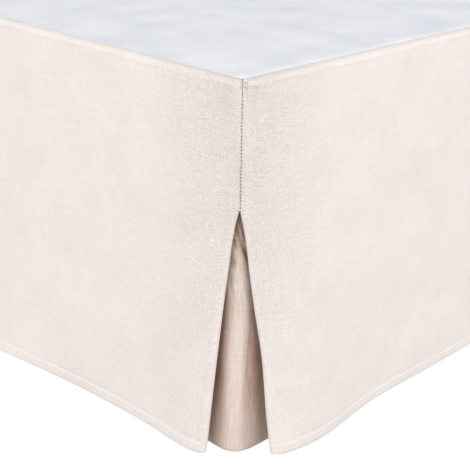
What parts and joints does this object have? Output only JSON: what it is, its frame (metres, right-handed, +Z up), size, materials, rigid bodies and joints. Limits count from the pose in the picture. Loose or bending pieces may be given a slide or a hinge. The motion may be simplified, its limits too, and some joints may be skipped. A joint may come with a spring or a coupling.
{
  "type": "bed skirt on a bed base",
  "caption": "Tailored bed skirt with a flat deck, straight drop panels and inverted corner pleats, hanging over a plain bed base on short legs.",
  "frame": {"origin": "on the floor, at the bottom centre of the whole object's box", "axes": "+Z up; the bed lies along Y, with the pleated foot corners at -Y and the open head end at +Y; +X is to the right, seen from the foot"},
  "size_m": [1.5672, 2.0566, 0.3876],
  "materials": {
    "skirt_cloth": "ivory plain-weave cotton with a soft slub",
    "deck_cloth": "cool white plain-weave lining cloth",
    "base_ticking": "plain oatmeal upholstery cloth",
    "leg_wood": "satin lacquered beech"
  },
  "bodies": {
    "root": {"deck": "deck_cloth", "foot_panel": "skirt_cloth", "side_panel_right": "skirt_cloth", "side_panel_left": "skirt_cloth", "pleat_insert_right": "skirt_cloth", "pleat_insert_left": "skirt_cloth", "bed_base": "base_ticking", "leg_foot_left": "leg_wood", "leg_foot_right": "leg_wood", "leg_middle_left": "leg_wood", "leg_middle_right": "leg_wood", "leg_head_left": "leg_wood", "leg_head_right": "leg_wood"}
  },
  "joints": []
}
